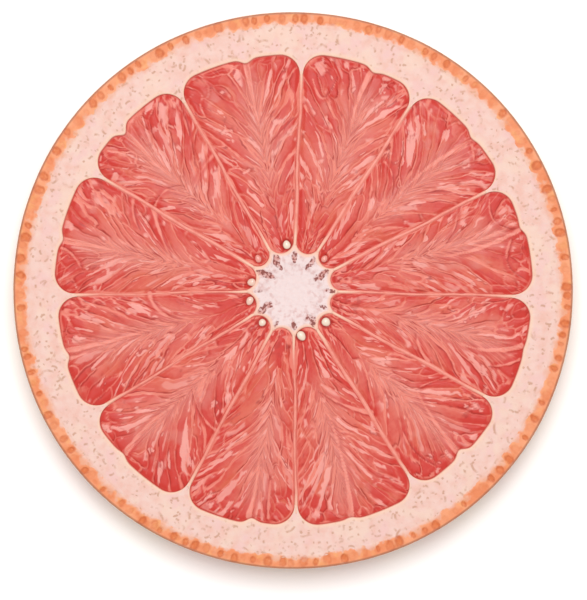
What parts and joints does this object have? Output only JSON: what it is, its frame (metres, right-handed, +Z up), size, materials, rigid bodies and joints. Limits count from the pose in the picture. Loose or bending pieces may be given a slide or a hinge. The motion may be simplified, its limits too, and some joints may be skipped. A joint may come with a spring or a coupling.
{
  "type": "grapefruit slice",
  "caption": "Thin round slice of a pink grapefruit with an orange rind, a pale pith ring, wedge-shaped pulp segments parted by thin membranes, and a star-shaped core.",
  "frame": {"origin": "middle of the lower cut face, which the slice lies on", "axes": "+Z up, through the fruit's core, out of the shown cut face; +Y towards the top of the slice as it is pictured; +X to its right"},
  "size_m": [0.106, 0.1055, 0.0123],
  "materials": {
    "pulp": "wet translucent pink citrus pulp",
    "rind": "waxy pebbled orange citrus rind",
    "pith": "spongy pale pink pith, membranes and core",
    "seed": "smooth ivory citrus seed"
  },
  "bodies": {
    "root": {"grapefruit_slice": "pulp"}
  },
  "joints": []
}
